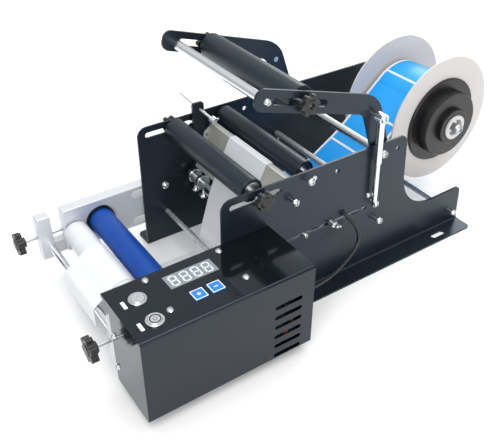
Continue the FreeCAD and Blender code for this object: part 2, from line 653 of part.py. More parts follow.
save("swing_arms", Part.makeCompound([swing_arm(-1), swing_arm(1)]))
cross_bar = rod_y(BAR_X, BAR_Z, BAR_R, -SWING_IN[-1], SWING_IN[1])
for side in (-1, 1):
    tapped = sorted((side * (SWING_IN[side] - 12), side * (SWING_IN[side] + 1)))
    cross_bar = cross_bar.cut(rod_y(BAR_X, BAR_Z, 2.5, *tapped))
save("swing_cross_bar", cross_bar)
bar_screws = [
    screw((BAR_X, side * SWING_OUT[side], BAR_Z), (0, side, 0), 5.2, 3.4, 2.5, 12.0) for side in (-1, 1)
]

pivot = rod_y(PIVOT_X, PIVOT_Z, PIVOT_R, -PLATE_IN, PLATE_IN)
pivot = pivot.fuse(screw((PIVOT_X, -PLATE_OUT, PIVOT_Z), (0, -1, 0), 6.5, 4.0, 4.0, PLATE_T + 1))
FAR_HINGE_END = HINGE_BOSS[1][1] + 0.4
pivot = pivot.fuse(rod_y(PIVOT_X, PIVOT_Z, 4.0, PLATE_IN - 1, PLATE_OUT + 1))
pivot = pivot.fuse(rod_y(PIVOT_X, PIVOT_Z, PIVOT_R, PLATE_OUT, FAR_HINGE_END))
pivot = pivot.fuse(rod_y(PIVOT_X, PIVOT_Z, 9.5, FAR_HINGE_END, FAR_HINGE_END + 1.6))
pivot = pivot.fuse(screw((PIVOT_X, FAR_HINGE_END + 1.6, PIVOT_Z), (0, 1, 0), 6.5, 4.0, 4.0, 2.0))
save("fixed_shafts", Part.makeCompound([pivot.removeSplitter(), rear_shaft]))

press_shaft = rod_y(PRESS_X, PRESS_Z, PRESS_SHAFT_R, -SWING_OUT[-1] - 9, SWING_OUT[1] + 9)
save("press_roller_shaft", press_shaft.makeChamfer(0.6, [
    e for e in press_shaft.Edges if e.BoundBox.YLength < 0.01]))
save("press_roller", idler_roller(PRESS_X, PRESS_Z, PRESS_R, -96.0, 107.5))
for name, side in (("near", -1), ("far", 1)):
    knob = placed(star_knob(14.0, 7.0, 6), (PRESS_X, side * (SWING_OUT[side] + GAP), PRESS_Z), (0, side, 0))
    save(name + "_press_knob", knob.cut(rod_y(PRESS_X, PRESS_Z, PRESS_SHAFT_R + FIT, -130, 130)))


# --- telescopic struts ---------------------------------------------------------------
STRUT_R = 5.4
STRUT_ROD_R = 4.0
EYE_HALF = 5.8           # half width of the upper eye
TUBE_START = 66.0        # lower end of the strut tube, measured up from the foot eye
STUD_R = 3.0
EYE_PLAY = 0.6
STRUT_LEN = math.hypot(STRUT_TOP[0] - STRUT_FOOT[0], STRUT_TOP[1] - STRUT_FOOT[1])
STRUT_DIR = V((STRUT_TOP[0] - STRUT_FOOT[0]) / STRUT_LEN, 0, (STRUT_TOP[1] - STRUT_FOOT[1]) / STRUT_LEN)


def strut_point(side, along):
    return V(STRUT_FOOT[0], side * STRUT_Y[side], STRUT_FOOT[1]) + STRUT_DIR * along


def strut_tube(side):
    low = side * STRUT_Y[side] - EYE_HALF
    tube = Part.makeCylinder(STRUT_R, STRUT_LEN - TUBE_START - 5.0, strut_point(side, TUBE_START), STRUT_DIR)
    eye = rod_y(STRUT_TOP[0], STRUT_TOP[1], 7.5, low, low + 2 * EYE_HALF)
    tube = tube.fuse(eye).removeSplitter()
    depth = STRUT_LEN - TUBE_START - 14.0
    bore = Part.makeCylinder(STRUT_ROD_R + FIT, depth, strut_point(side, TUBE_START - 1.0), STRUT_DIR)
    return cut_all(tube, [bore, rod_y(STRUT_TOP[0], STRUT_TOP[1], STUD_R + EYE_PLAY, low - 1, low + 13)])


def strut_rod(side):
    low = side * STRUT_Y[side] - 4.3
    rod = Part.makeCylinder(STRUT_ROD_R, STRUT_LEN - 31.0, strut_point(side, 3.0), STRUT_DIR)
    eye = rod_y(STRUT_FOOT[0], STRUT_FOOT[1], 5.0, low, low + 8.6)
    return rod.fuse(eye).removeSplitter().cut(rod_y(STRUT_FOOT[0], STRUT_FOOT[1], STUD_R + FIT, low - 1, low + 9))


def foot_stud(side):
    y = STRUT_Y[side]
    low, high = sorted((side * PLATE_IN, side * (y + 4.6)))
    stud = rod_y(STRUT_FOOT[0], STRUT_FOOT[1], STUD_R, low, high)
    spacer = sorted((side * PLATE_OUT, side * (y - 4.6)))
    stud = stud.fuse(rod_y(STRUT_FOOT[0], STRUT_FOOT[1], 4.4, *spacer))
    head = (STRUT_FOOT[0], side * (y + 4.6), STRUT_FOOT[1])
    return stud.fuse(screw(head, (0, side, 0), 4.4, 2.4, STUD_R, 1.0)).removeSplitter()


def top_stud(side):
    y = STRUT_Y[side]
    inner = side * (SWING_IN[side] + 0.2)
    low, high = sorted((inner, side * (y + EYE_HALF + 0.3)))
    stud = rod_y(STRUT_TOP[0], STRUT_TOP[1], STUD_R, low, high)
    shoulder = sorted((inner, side * (y - EYE_HALF - 0.3)))
    stud = stud.fuse(rod_y(STRUT_TOP[0], STRUT_TOP[1], 4.0, *shoulder))
    head = (STRUT_TOP[0], side * (y + EYE_HALF + 0.3), STRUT_TOP[1])
    return stud.fuse(screw(head, (0, side, 0), 5.0, 2.8, STUD_R, 1.0)).removeSplitter()


for name, side in (("near", -1), ("far", 1)):
    save(name + "_strut_tube", strut_tube(side))
    save(name + "_strut_rod", strut_rod(side))
save("swing_arm_screws", Part.makeCompound(bar_screws + [top_stud(-1), top_stud(1)]))
save("frame_screws", Part.makeCompound(
    screws + [stop_screw()] + arm_fasteners(-1) + arm_fasteners(1) + [foot_stud(-1), foot_stud(1)]))


# --- label reel on its cantilever shaft ---------------------------------------------------
REEL_SHAFT_R = 6.0
HUB_R = 33.9
HUB_END_R = 19.0
shaft = rod_y(REEL_X, REEL_Z, REEL_SHAFT_R, -90.0, PLATE_IN)
shaft = shaft.fuse(rod_y(REEL_X, REEL_Z, 11.0, 96.0, PLATE_IN))
shaft = shaft.fuse(rod_y(REEL_X, REEL_Z, 5.0, PLATE_IN, PLATE_OUT + 9))
shaft = shaft.fuse(tube_y(REEL_X, REEL_Z, 10.0, 5.0, PLATE_OUT, PLATE_OUT + 1.6))
nut = hex_prism(8.5, 6.5, V(REEL_X, PLATE_OUT + 1.6, REEL_Z), V(0, 1, 0))
shaft = shaft.fuse(nut.cut(rod_y(REEL_X, REEL_Z, 5.0, 0, 300)))
shaft = shaft.fuse(rod_y(REEL_X, REEL_Z, 11.0, -79.6, -78.2))
shaft = shaft.fuse(screw((REEL_X, -90.0, REEL_Z), (0, -1, 0), 8.0, 5.5, 3.0, 1.0))
save("reel_shaft", shaft.removeSplitter())

hub = rod_y(REEL_X, REEL_Z, HUB_R, -44.5, DISC_IN)
hub = hub.fuse(rod_y(REEL_X, REEL_Z, 24.0, DISC_IN, 66.0))
hub = hub.fuse(rod_y(REEL_X, REEL_Z, HUB_END_R, -84.5, -44.5))
hub = hub.cut(rod_y(REEL_X, REEL_Z, REEL_SHAFT_R + FIT, -90, 90))
hub = hub.cut(rod_y(REEL_X, REEL_Z, 13.0, -90.0, -77.8))
hub = hub.removeSplitter()
far_disc = tube_y(REEL_X, REEL_Z, DISC_R, 24.0, DISC_IN, DISC_IN + 2)
far_ring = tube_y(REEL_X, REEL_Z, 40.0, 24.0, DISC_IN + 2, DISC_IN + 6)
save("reel_spool", Part.makeCompound([hub, far_disc.fuse(far_ring).removeSplitter()]))
core = tube_y(REEL_X, REEL_Z, CORE_R, HUB_R, -WEB_HALF, WEB_HALF)
roll = tube_y(REEL_X, REEL_Z, ROLL_R, CORE_R, -WEB_HALF, WEB_HALF)
save("label_roll", Part.makeCompound([core, roll]))

FLANGE_BORE = HUB_END_R + FIT
near_disc = tube_y(REEL_X, REEL_Z, DISC_R, 51.0, -DISC_IN - 2, -DISC_IN)
save("near_reel_disc", near_disc)
clamp = rod_y(REEL_X, REEL_Z, 67.0, -DISC_IN - 6, -DISC_IN - 2)
clamp = clamp.fuse(rod_y(REEL_X, REEL_Z, 51.0, -74.0, -DISC_IN))
clamp = clamp.fuse(rod_y(REEL_X, REEL_Z, 28.0, -82.0, -74.0)).removeSplitter()
steps = [e for e in clamp.Edges
         if e.Curve.TypeId == "Part::GeomCircle" and e.BoundBox.YMax < -DISC_IN - 5
         and round(e.Curve.Radius) in (28, 51, 67)]
clamp = clamp.makeChamfer(1.0, [e for e in steps if abs(e.BoundBox.YMin + {28: 82, 51: 74, 67: 56}[round(e.Curve.Radius)]) < 0.1])
clamp = clamp.cut(rod_y(REEL_X, REEL_Z, FLANGE_BORE, -90, -40))
SET_SCREW = (REEL_X - 40.0, REEL_Z - 43.0)
clamp = clamp.cut(rod_y(SET_SCREW[0], SET_SCREW[1], 3.0, -57, -54))
set_screw = rod_y(SET_SCREW[0], SET_SCREW[1], 3.0, -56.3, -54.0)
save("near_reel_clamp", Part.makeCompound([clamp, set_screw]))


# --- control box --------------------------------------------------------------------
PANEL_Z0 = BOX_Z1 - PANEL_T
VENT_X0, VENT_X1 = 12.0, 52.0
VENT_TOP, VENT_PITCH, VENT_COUNT, VENT_R = 101.0, 15.7, 6, 3.0
LEAD_HOLE = (-165.0, 57.0)
DISPLAY = (-59.7, -136.5, 64.0, 24.0)
KEYS = (("plus_key", -70.2, -172.7), ("minus_key", -47.6, -172.4))
KEY_SIZE = 17.0
BUTTONS = (("start_button", -131.4, -142.4), ("power_button", -131.0, -182.6))
BUTTON_R, BUTTON_CAP_R = 11.0, 8.4
PANEL_SCREWS = ((-109.2, -117.6), (-10.3, -118.5), (-109.2, -176.7), (-9.7, -177.1))
FACE_SCREWS = ((-134.0, 94.6), (-134.0, 43.7))

shell = box(BOX_X0, BOX_X1, BOX_FRONT, BOX_BACK, BOX_Z0, PANEL_Z0)
shell = shell.makeFillet(2.0, [e for e in shell.Edges
                               if e.BoundBox.XLength > 200 and e.BoundBox.ZMax < BOX_Z0 + 0.1])
cavity = box(BOX_X0 + SHEET, BOX_X1 - SHEET, BOX_FRONT + SHEET, BOX_BACK - SHEET, BOX_Z0 + SHEET, PANEL_Z0 + 1)
shell = shell.cut(cavity)
for k in range(VENT_COUNT):
    z = VENT_TOP - k * VENT_PITCH
    shell = shell.cut(slot_y(VENT_X0 + VENT_R, VENT_X1 - VENT_R, z, z, VENT_R, BOX_FRONT - 1, BOX_FRONT + SHEET + 1))
shell = shell.cut(rod_y(DRIVE_X, DRIVE_Z, 8.0, BOX_BACK - SHEET - 1, BOX_BACK + 1))
shell = shell.cut(rod_x(LEAD_HOLE[0], LEAD_HOLE[1], 3.8, BOX_X1 - SHEET - 1, BOX_X1 + 1))
for z in ARM_SLOT_Z:
    shell = shell.cut(rod_y(TIE_FRONT[0], z, 10.0, BOX_BACK - SHEET - 1, BOX_BACK + 1))
for y, z in FACE_SCREWS:
    shell = shell.cut(rod_x(y, z, 1.8, BOX_X0 - 1, BOX_X0 + SHEET + 1))
save("box_housing", shell)

panel = box(BOX_X0, BOX_X1, BOX_FRONT, -PLATE_OUT, PANEL_Z0, BOX_Z1)
front_edge = [e for e in panel.Edges
              if e.BoundBox.XLength > 200 and e.BoundBox.YMax < BOX_FRONT + 0.1 and e.BoundBox.ZMin > BOX_Z1 - 0.1]
panel = panel.makeFillet(3.5, front_edge)
dx, dy, lx, ly = DISPLAY
panel = panel.cut(box(dx - lx / 2, dx + lx / 2, dy - ly / 2, dy + ly / 2, PANEL_Z0 - 1, BOX_Z1 + 1))
for name, x, y in KEYS:
    half = KEY_SIZE / 2 + 0.3
    panel = panel.cut(box(x - half, x + half, y - half, y + half, PANEL_Z0 - 1, BOX_Z1 + 1))
for name, x, y in BUTTONS:
    panel = panel.cut(rod_z(x, y, 9.6, PANEL_Z0 - 1, BOX_Z1 + 1))
for x, y in PANEL_SCREWS:
    panel = panel.cut(rod_z(x, y, 1.8, PANEL_Z0 - 1, BOX_Z1 + 1))
save("box_top_panel", panel)

box_screws = [screw((x, y, BOX_Z1), (0, 0, 1), 4.4, 2.4, 1.8, 9.0) for x, y in PANEL_SCREWS]
box_screws += [screw((BOX_X0, y, z), (-1, 0, 0), 4.6, 2.6, 1.8, 7.0) for y, z in FACE_SCREWS]
save("box_screws", Part.makeCompound(box_screws))

window = box(dx - lx / 2, dx + lx / 2, dy - ly / 2, dy + ly / 2, BOX_Z1 - 2.2, BOX_Z1 - 0.2)
module = box(dx - 36, dx + 36, dy - 14, dy + 5, PANEL_Z0 - 9, PANEL_Z0)
module = module.fuse(box(dx - 30, dx + 30, dy - 9, dy + 9, PANEL_Z0, BOX_Z1 - 2.4)).removeSplitter()
save("display_module", Part.makeCompound([module, window]))

KEY_PROUD = 1.0
for name, x, y in KEYS:
    half = KEY_SIZE / 2
    key = box(x - half, x + half, y - half, y + half, PANEL_Z0 + 0.5, BOX_Z1 + KEY_PROUD)
    key = key.makeChamfer(1.0, [e for e in key.Edges if e.BoundBox.ZLength > 3])
    key = key.makeChamfer(0.4, [e for e in key.Edges if e.BoundBox.ZMin > BOX_Z1 + KEY_PROUD - 0.1])
    save(name, key)

bezels = []
for name, x, y in BUTTONS:
    bezel = rod_z(x, y, BUTTON_R, BOX_Z1, BOX_Z1 + 2.4)
    bezel = bezel.makeChamfer(0.9, [e for e in bezel.Edges if e.BoundBox.ZMin > BOX_Z1 + 2.3])
    bezel = bezel.fuse(rod_z(x, y, 9.5, PANEL_Z0 - 16, BOX_Z1))
    bezels.append(bezel.cut(rod_z(x, y, BUTTON_CAP_R + 0.2, PANEL_Z0 - 12, BOX_Z1 + 3)).removeSplitter())
    cap = rod_z(x, y, BUTTON_CAP_R, PANEL_Z0 - 3, BOX_Z1 + 3.0)
    cap = cap.makeChamfer(0.6, [e for e in cap.Edges if e.BoundBox.ZMin > BOX_Z1 + 2.9])
    save(name, cap)
save("button_bezels", Part.makeCompound(bezels))

MOTOR_FACE = -145.0
motor = rod_y(DRIVE_X, DRIVE_Z, 21.0, MOTOR_FACE - 24, MOTOR_FACE)
motor = motor.fuse(rod_y(DRIVE_X, DRIVE_Z, 18.0, MOTOR_FACE - 56, MOTOR_FACE - 24))
mounting = box(DRIVE_X - 24, DRIVE_X + 24, MOTOR_FACE, MOTOR_FACE + 2, BOX_Z0 + SHEET, DRIVE_Z + 26)
mounting = mounting.fuse(box(DRIVE_X - 24, DRIVE_X + 24, MOTOR_FACE - 30, MOTOR_FACE + 2,
                             BOX_Z0 + SHEET, BOX_Z0 + SHEET + 2)).removeSplitter()
mounting = mounting.cut(rod_y(DRIVE_X, DRIVE_Z, 7.5, MOTOR_FACE - 1, MOTOR_FACE + 3))
save("drive_motor", Part.makeCompound([motor.removeSplitter(), mounting]))

BOARD_Y = -188.0
board = box(8, 60, BOARD_Y, BOARD_Y + 1.6, 22, 112)
for x, z, w, h, d in ((14, 30, 14, 12, 9), (34, 30, 18, 16, 7), (14, 52, 22, 8, 5),
                      (42, 56, 10, 10, 8), (16, 72, 12, 14, 6), (36, 76, 16, 9, 5), (20, 94, 26, 7, 8)):
    board = board.fuse(box(x, x + w, BOARD_Y - d, BOARD_Y, z, z + h))
for x in (12, 56):
    for z in (26, 108):
        board = board.fuse(rod_y(x, z, 2.5, BOARD_Y + 1.6, BOARD_Y + 12))
        board = board.cut(rod_y(x, z, 1.4, BOARD_Y - 1, BOARD_Y + 2))
stand = box(8, 60, BOARD_Y + 12, BOARD_Y + 13.5, BOX_Z0 + SHEET, 112)
save("control_board", board.fuse(stand).removeSplitter())


# --- sensor carriage, wing nut, sensor lead ---------------------------------------------
SLOT_HALF = 2.3
stem = box(SENSOR_X - 7, SENSOR_X + 7, -PLATE_IN + GAP, -PLATE_IN + 3.4, 70, SENSOR_SLOT_Z + 8)
stem = stem.fuse(box(SENSOR_X - 7, SENSOR_X + 7, -PLATE_IN + GAP, -62, 70, 73))
stem = stem.removeSplitter().cut(rod_y(SENSOR_X, SENSOR_SLOT_Z, 2.0, -300, -90))
fork = box(SENSOR_X - 9, SENSOR_X + 9, -78, -36, 73, 106)
fork = fork.makeChamfer(1.0, [e for e in fork.Edges if e.BoundBox.ZLength > 30])
save("sensor_fork", fork.cut(box(SENSOR_X - 10, SENSOR_X + 10, -66, -35, 88.5, 94.5)))
stud = rod_y(SENSOR_X, SENSOR_SLOT_Z, 2.0, -124.0, -PLATE_IN + 3.4)
head = rod_y(SENSOR_X, SENSOR_SLOT_Z, 4.0, -PLATE_IN + 3.4, -PLATE_IN + 5.6)
save("sensor_bracket", Part.makeCompound([stem, stud.fuse(head).removeSplitter()]))

NUT_Y0 = -PLATE_OUT - GAP
nut = Part.makeCone(5.5, 4.2, 7.5, V(SENSOR_X, NUT_Y0, SENSOR_SLOT_Z), V(0, -1, 0))
for side in (-1, 1):
    wing = prism_y([
        (0, -1.4, 0),
        (9.5, -1.4, 1.3),
        (9.5, 1.4, 1.3),
        (0, 1.4, 0),
    ], -13.5, -3.5)
    wing = wing.cut(box(-1, 6.2, -20, -9.5, -3, 3))
    rims = [e for e in wing.Edges if e.BoundBox.ZLength > 2 and e.BoundBox.XMin > 7]
    wing.rotate(V(0, 0, 0), V(0, 1, 0), 25 if side > 0 else 205)
    wing.translate(V(SENSOR_X, NUT_Y0 + 2.0, SENSOR_SLOT_Z))
    nut = nut.fuse(wing)
nut = nut.cut(rod_y(SENSOR_X, SENSOR_SLOT_Z, 2.0 + FIT, -130, -100))
save("sensor_wing_nut", nut.removeSplitter())

CABLE_R = 2.4
CABLE_ROUTE = [
    (CABLE_HOLE[0], -103.0, CABLE_HOLE[1]),
    (CABLE_HOLE[0], -121.0, CABLE_HOLE[1]),
    (213.0, -129.0, 84.0),
    (209.0, -134.0, 62.0),
    (185.0, -141.0, 53.0),
    (150.0, -152.0, 49.0),
    (110.0, -160.0, 52.0),
    (64.0, LEAD_HOLE[0], LEAD_HOLE[1]),
]


def bent_tube(route, r):
    """Round section swept along straight runs joined by tangent arcs."""
    points = [V(*p) for p in route]
    edges = []
    radii = []
    start = points[0]
    length = 0.0
    for before, here, after in zip(points, points[1:], points[2:]):
        back = (before - here)
        ahead = (after - here)
        half = back.getAngle(ahead) / 2
        reach = 0.45 * min(back.Length, ahead.Length)
        radius = reach * math.tan(half)
        radii.append(radius)
        a = here + back.normalize() * reach
        b = here + ahead.normalize() * reach
        middle = here + (back + ahead).normalize() * (radius / math.sin(half) - radius)
        edges.append(Part.LineSegment(start, a).toShape())
        edges.append(Part.Arc(a, middle, b).toShape())
        start = b
    edges.append(Part.LineSegment(start, points[-1]).toShape())
    wire = Part.Wire(edges)
    ring = Part.Wire(Part.makeCircle(r, points[0], points[1] - points[0]))
    tube = wire.makePipeShell([ring], True, True)
    print("bend radii", [round(v, 1) for v in radii])
    print("tube volume", round(tube.Volume), "of", round(math.pi * r * r * wire.Length))
    return tube


save("sensor_cable", bent_tube(CABLE_ROUTE, CABLE_R))
grommet = tube_y(CABLE_HOLE[0], CABLE_HOLE[1], 4.6, CABLE_R + 0.2, -PLATE_OUT - 1.6, -PLATE_OUT)
grommet = grommet.fuse(tube_y(CABLE_HOLE[0], CABLE_HOLE[1], 3.5, CABLE_R + 0.2, -PLATE_OUT, -PLATE_IN))
save("cable_grommet", grommet.removeSplitter())
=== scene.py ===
import math

import bmesh
import bpy
from mathutils import Matrix, Vector


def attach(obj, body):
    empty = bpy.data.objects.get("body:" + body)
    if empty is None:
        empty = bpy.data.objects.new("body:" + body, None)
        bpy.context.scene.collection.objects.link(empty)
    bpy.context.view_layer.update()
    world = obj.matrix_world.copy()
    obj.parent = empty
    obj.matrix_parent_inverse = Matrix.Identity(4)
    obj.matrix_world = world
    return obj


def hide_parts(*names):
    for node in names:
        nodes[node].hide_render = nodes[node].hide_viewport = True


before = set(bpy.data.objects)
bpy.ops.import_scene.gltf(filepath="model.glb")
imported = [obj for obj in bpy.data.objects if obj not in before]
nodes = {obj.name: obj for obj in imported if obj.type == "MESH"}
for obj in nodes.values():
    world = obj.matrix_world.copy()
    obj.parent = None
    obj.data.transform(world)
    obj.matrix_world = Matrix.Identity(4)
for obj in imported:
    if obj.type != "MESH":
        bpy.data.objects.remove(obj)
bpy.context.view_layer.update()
scene = bpy.context.scene


# --- camera, light and floor -----------------------------------------------------
def add_camera():
    data = bpy.data.cameras.new("camera")
    data.sensor_width = 36.0
    data.lens = 51.6
    data.clip_start = 0.05
    camera = bpy.data.objects.new("camera", data)
    camera.location = (-0.5852, -0.6872, 0.6662)
    camera.rotation_euler = (math.radians(54.16), 0.0, math.radians(-33.94))
    scene.collection.objects.link(camera)
    scene.camera = camera


def area_light(name, location, target, size, power):
    data = bpy.data.lights.new(name, "AREA")
    data.shape = "RECTANGLE"
    data.size, data.size_y = size
    data.energy = power
    lamp = bpy.data.objects.new(name, data)
    lamp.location = location
    lamp.rotation_euler = (Vector(target) - Vector(location)).to_track_quat("-Z", "Y").to_euler()
    scene.collection.objects.link(lamp)


# --- node helpers -------------------------------------------------------------------
def linear(code):
    """sRGB hex colour to linear RGBA."""
    values = [int(code[i:i + 2], 16) / 255 for i in (1, 3, 5)]
    return tuple(v / 12.92 if v <= 0.04045 else ((v + 0.055) / 1.055) ** 2.4 for v in values) + (1.0,)


def add(tree, kind, inputs=None, **settings):
    """Adds a shader node; inputs are values or sockets to link, by socket name or index."""
    node = tree.nodes.new(kind)
    for key, value in settings.items():
        setattr(node, key, value)
    for key, value in (inputs or {}).items():
        if isinstance(value, bpy.types.NodeSocket):
            tree.links.new(value, node.inputs[key])
        else:
            node.inputs[key].default_value = value
    return node


def new_material(name):
    material = bpy.data.materials.new(name)
    material.use_nodes = True
    tree = material.node_tree
    return material, tree, tree.nodes["Principled BSDF"]


def put(tree, shader, **values):
    """Sets the shader's sockets; underscores in a keyword stand for spaces."""
    for key, value in values.items():
        socket = shader.inputs[key.replace("_", " ")]
        if isinstance(value, bpy.types.NodeSocket):
            tree.links.new(value, socket)
        else:
            socket.default_value = value


def object_space(tree, stretch=(1, 1, 1)):
    """Object coordinates in metres, scaled per axis."""
    place = add(tree, "ShaderNodeTexCoord")
    return add(tree, "ShaderNodeMapping", {"Vector": place.outputs["Object"], "Scale": stretch}).outputs[0]


def noise(tree, vector, size_mm, detail=3.0, rough=0.5):
    """Noise whose features are about size_mm across."""
    return add(tree, "ShaderNodeTexNoise", {
        "Vector": vector, "Scale": 1000.0 / size_mm, "Detail": detail, "Roughness": rough,
    }).outputs["Fac"]


def spread(tree, value, low, high):
    return add(tree, "ShaderNodeMapRange", {
        "Value": value, "From Min": 0.3, "From Max": 0.7, "To Min": low, "To Max": high,
    }).outputs["Result"]


def bump(tree, height, depth_mm, strength=1.0):
    return add(tree, "ShaderNodeBump", {
        "Height": height, "Distance": depth_mm / 1000, "Strength": strength,
    }).outputs["Normal"]


def blend_colour(tree, factor, first, second):
    mix = add(tree, "ShaderNodeMix", data_type="RGBA")
    for socket, value in ((mix.inputs[0], factor), (mix.inputs[6], first), (mix.inputs[7], second)):
        if isinstance(value, bpy.types.NodeSocket):
            tree.links.new(value, socket)
        else:
            socket.default_value = value
    return mix.outputs[2]


# --- materials -----------------------------------------------------------------------
COOL_SHEEN = "#cfe0f5"


def powder_coat(name, code, rough):
    """Satin powder coat with fine orange peel and a faint dusting of colour."""
    material, tree, shader = new_material(name)
    space = object_space(tree)
    peel = noise(tree, space, 1.1, 2.0)
    cloud = noise(tree, space, 60.0, 4.0)
    tone = blend_colour(tree, spread(tree, cloud, 0.0, 1.0), linear(code), tuple(
        min(1.0, c * 1.25) for c in linear(code)[:3]) + (1.0,))
    put(tree, shader, Base_Color=tone, Roughness=spread(tree, cloud, rough - 0.03, rough + 0.04),
        Specular_IOR_Level=0.5, Specular_Tint=linear(COOL_SHEEN), Normal=bump(tree, peel, 0.012, 0.35))
    return material


def metal(name, code, rough, grain=(1, 1, 1), grain_mm=0.5, depth_mm=0.004, metallic=1.0):
    """Bare metal with machining grain; 'grain' stretches the pattern per axis.

    A satin or milled surface scatters some light, so it takes a metallic value below 1.
    """
    material, tree, shader = new_material(name)
    space = object_space(tree, grain)
    lines = noise(tree, space, grain_mm, 3.0)
    put(tree, shader, Base_Color=linear(code), Metallic=metallic,
        Roughness=spread(tree, lines, rough * 0.8, rough * 1.25),
        Normal=bump(tree, lines, depth_mm, 0.4))
    return material


def rubber(name, code, rough):
    material, tree, shader = new_material(name)
    space = object_space(tree, (1, 0.35, 1))
    skin = noise(tree, space, 0.7, 3.0)
    wear = noise(tree, space, 14.0, 4.0)
    darker = tuple(c * 0.8 for c in linear(code)[:3]) + (1.0,)
    put(tree, shader, Base_Color=blend_colour(tree, spread(tree, wear, 0.0, 1.0), linear(code), darker),
        Roughness=spread(tree, wear, rough - 0.06, rough + 0.06), Specular_Tint=linear(COOL_SHEEN),
        Normal=bump(tree, skin, 0.02, 0.4))
    return material


def plastic(name, code, rough, grain_mm=0.6, depth_mm=0.01, **extra):
    material, tree, shader = new_material(name)
    space = object_space(tree)
    grain = noise(tree, space, grain_mm, 2.0)
    cloud = noise(tree, space, 35.0, 3.0)
    put(tree, shader, Base_Color=linear(code), Roughness=spread(tree, cloud, rough * 0.85, rough * 1.15),
        Normal=bump(tree, grain, depth_mm, 0.4), **extra)
    return material


def lacquer(name, code, rough):
    """Gloss black lacquer, smooth and very slightly wavy, with a cool reflection."""
    material, tree, shader = new_material(name)
    space = object_space(tree)
    wave = noise(tree, space, 22.0, 2.0)
    put(tree, shader, Base_Color=linear(code), Roughness=rough, Specular_IOR_Level=0.5,
        Specular_Tint=linear(COOL_SHEEN), Normal=bump(tree, wave, 0.02, 0.3))
    return material


def compute(tree, operation, *values):
    """Math node on values or sockets."""
    return add(tree, "ShaderNodeMath", dict(enumerate(values)), operation=operation).outputs[0]


WEB_HALF, LABEL_MARGIN = 0.045, 0.004
LABEL_PITCH, LABEL_GAP = 0.065, 0.0035
LABELS_ROUND_ROLL = 6
PAPER, LABEL_BLUE = "#d9dbdf", "#0093e0"
REEL_AXIS = (0.2065, 0.1586)
ROLL_RADIUS = 0.062
ROLL_GAP_ANGLE = math.radians(116.5)     # one gap on the roll
WEB_SLOPE = math.radians(38.5)           # fall of the web from the roll
WEB_GAP_AT = 0.1325                      # one gap on the web, down that slope
LIFT_X = -0.1035                         # the labels are off the liner on this side of the turn rod


def label_stock(name, along, edge_of_blue=None):
    """Blue labels on white backing: a white margin along both edges and a white gap every pitch.

    'along' gives the distance along the stock in metres from a tree and its object coordinates.
    """
    material, tree, shader = new_material(name)
    place = add(tree, "ShaderNodeTexCoord").outputs["Object"]
    axes = add(tree, "ShaderNodeSeparateXYZ", {0: place}).outputs
    inside = compute(tree, "LESS_THAN", compute(tree, "ABSOLUTE", axes["Y"]), WEB_HALF - LABEL_MARGIN)
    phase = compute(tree, "FRACT", compute(tree, "DIVIDE", along(tree, axes), LABEL_PITCH))
    label = compute(tree, "MULTIPLY", inside, compute(tree, "GREATER_THAN", phase, LABEL_GAP / LABEL_PITCH))
    if edge_of_blue is not None:
        label = compute(tree, "MULTIPLY", label, compute(tree, "GREATER_THAN", axes["X"], edge_of_blue))
    fibre = noise(tree, object_space(tree), 3.0)
    put(tree, shader, Base_Color=blend_colour(tree, label, linear(PAPER), linear(LABEL_BLUE)),
        Roughness=0.4, Normal=bump(tree, fibre, 0.01, 0.4))
    return material


def around_roll(tree, axes):
    """Distance round the roll, from one of its gaps."""
    dx = compute(tree, "SUBTRACT", axes["X"], REEL_AXIS[0])
    dz = compute(tree, "SUBTRACT", axes["Z"], REEL_AXIS[1])
    turn = compute(tree, "ARCTAN2", dz, dx)
    from_gap = compute(tree, "SUBTRACT", turn, ROLL_GAP_ANGLE - 2 * math.pi)
    arc = compute(tree, "MULTIPLY", from_gap, ROLL_RADIUS)
    whole_labels = LABELS_ROUND_ROLL * LABEL_PITCH / (2 * math.pi * ROLL_RADIUS)
    return compute(tree, "MULTIPLY", arc, whole_labels)


def down_web(tree, axes):
    """Distance down the slanted web, from one of its gaps."""
    dx = compute(tree, "MULTIPLY", axes["X"], math.cos(WEB_SLOPE))
    dz = compute(tree, "MULTIPLY", axes["Z"], math.sin(WEB_SLOPE))
    return compute(tree, "SUBTRACT", compute(tree, "ADD", dx, dz), WEB_GAP_AT - 10 * LABEL_PITCH)


paint = powder_coat("black_powder_coat", "#141b22", 0.32)
alloy = metal("brushed_alloy", "#d3d6db", 0.46, (1.0, 18.0, 18.0), 4.0, metallic=0.6)
ground = metal("ground_chrome_rod", "#e3e6ea", 0.14, (6.0, 1.0, 6.0), 6.0, 0.002)
drawn = metal("drawn_steel_rod", "#c3c7cb", 0.24, (6.0, 1.0, 6.0), 6.0, 0.002, 0.7)
steel = metal("turned_steel", "#c4c6c9", 0.27, (3.0, 1.0, 3.0), 1.5)
sheet_steel = metal("guide_sheet_steel", "#c2c3bc", 0.4, (12.0, 1.0, 12.0), 5.0, metallic=0.55)
zinc = metal("zinc_plated_screw", "#d6d9db", 0.2, (1, 1, 1), 0.8)
blue = rubber("blue_roller_rubber", "#00429a", 0.4)
black_rubber = rubber("black_roller_rubber", "#1a2228", 0.38)
white = plastic("white_roller_plastic", "#cfd1d6", 0.3)
disc = plastic("reel_disc_plastic", "#c4c1c0", 0.36)
knob = plastic("moulded_black_knob", "#131416", 0.34, 0.9, 0.03)
gloss = lacquer("gloss_black_lacquer", "#0d1116", 0.09)
window_grey = plastic("display_window", "#7b8288", 0.14)
segment_white = plastic("display_segment", "#c9cfd4", 0.4)
print_white = plastic("white_print", "#eef0f2", 0.4)
# black print for the power mark; the same material is painted shade for the ring round the drive roller's
# seat
dark_print_and_shade = plastic("black_print_and_painted_shade", "#15171a", 0.4)
liner = plastic("release_paper", PAPER, 0.42, 3.0, 0.01)
key = plastic("key_blue", "#1273d6", 0.3)
cable = plastic("cable_jacket", "#0e0f11", 0.38, 1.2, 0.02)
red_wire = plastic("red_wire_jacket", "#c11a1a", 0.4)
board = plastic("board_green", "#0f2218", 0.4)
